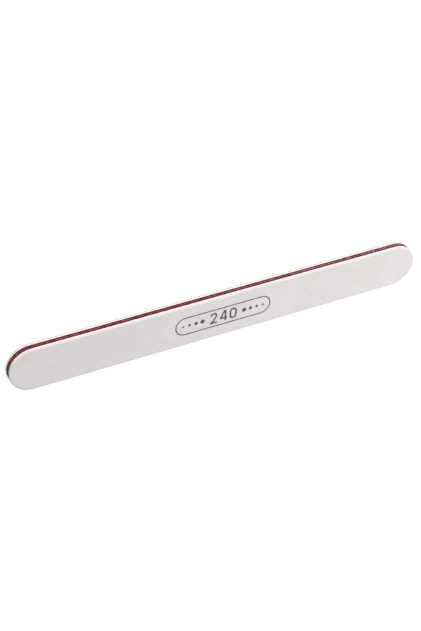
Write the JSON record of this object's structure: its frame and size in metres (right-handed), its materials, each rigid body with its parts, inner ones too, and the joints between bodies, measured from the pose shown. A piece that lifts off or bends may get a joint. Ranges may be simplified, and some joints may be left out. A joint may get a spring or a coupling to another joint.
{
  "type": "nail file",
  "caption": "Flat cushioned nail file with half-round ends: a rigid core between foam cushions and abrasive sheets, for shaping fingernails by hand.",
  "frame": {"origin": "middle of the footprint, on the surface that the lower abrasive face rests on", "axes": "+X along the file, +Y across its width, +Z through its thickness, out of the printed upper face"},
  "size_m": [0.178, 0.019, 0.0044],
  "materials": {
    "core": "dark red polystyrene board, die-cut edge",
    "adhesive": "clear acrylic adhesive film, dusty at the cut",
    "foam": "white closed-cell foam, cut cells along the rim",
    "backing": "latex-filled white backing paper",
    "grit": "fine white aluminium oxide grit in a dry lubricating coat"
  },
  "bodies": {
    "root": {"core_board": "core", "upper_core_film": "adhesive", "lower_core_film": "adhesive", "upper_foam_cushion": "foam", "lower_foam_cushion": "foam", "upper_sheet_film": "adhesive", "lower_sheet_film": "adhesive", "upper_backing_paper": "backing", "lower_backing_paper": "backing", "upper_grit_coat": "grit", "lower_grit_coat": "grit"}
  },
  "joints": []
}
